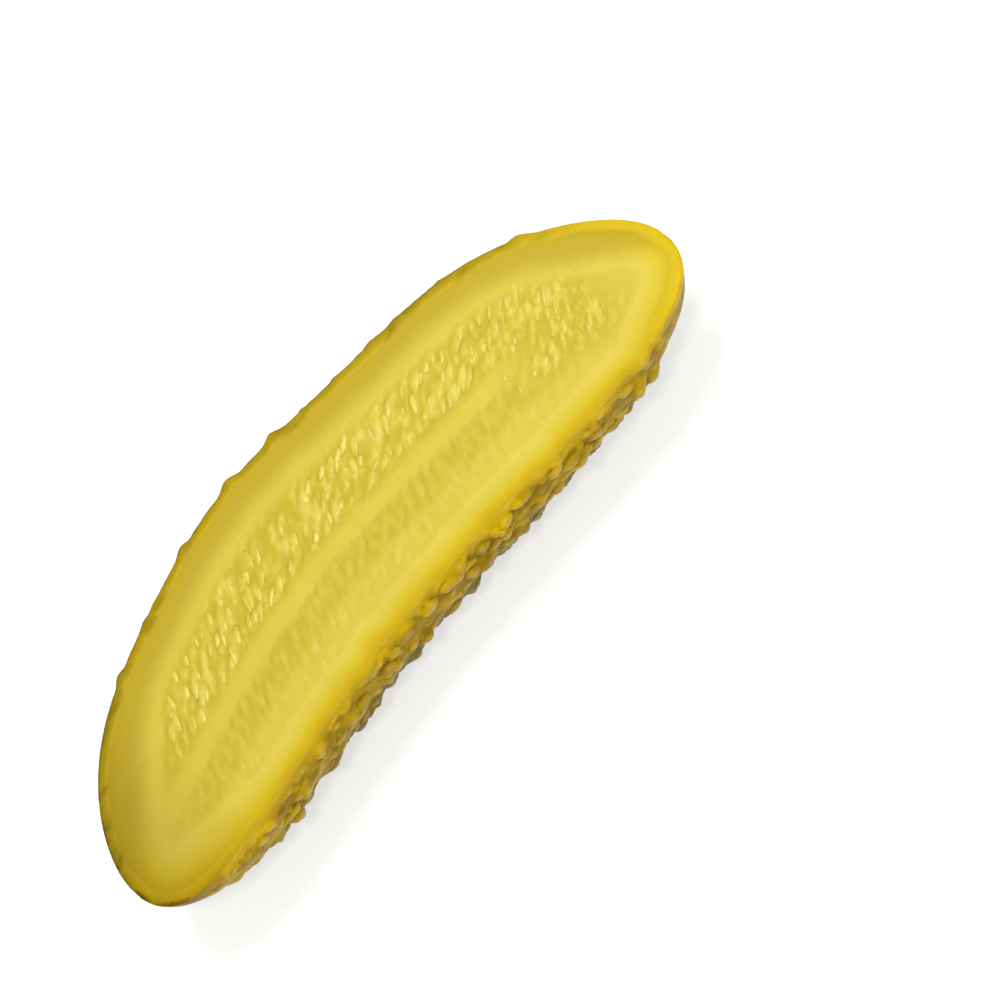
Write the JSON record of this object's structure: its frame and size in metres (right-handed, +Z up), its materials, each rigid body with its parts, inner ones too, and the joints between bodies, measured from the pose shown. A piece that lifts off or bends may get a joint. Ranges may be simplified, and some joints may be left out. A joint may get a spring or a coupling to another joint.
{
  "type": "pickled gherkin half",
  "caption": "Pickled gherkin cut in half lengthwise, lying cut face up on its round warty back, with rows of seed pockets in the cut face.",
  "frame": {"origin": "middle of the part's box, on the surface that the gherkin rests on", "axes": "+X along the gherkin from end to end, +Y towards the outer side of its bend, +Z up out of the cut face"},
  "size_m": [0.108, 0.0368, 0.0193],
  "materials": {
    "pickled_gherkin": "wet, pale yellow flesh with an olive skin"
  },
  "bodies": {
    "root": {"gherkin_half": "pickled_gherkin"}
  },
  "joints": []
}
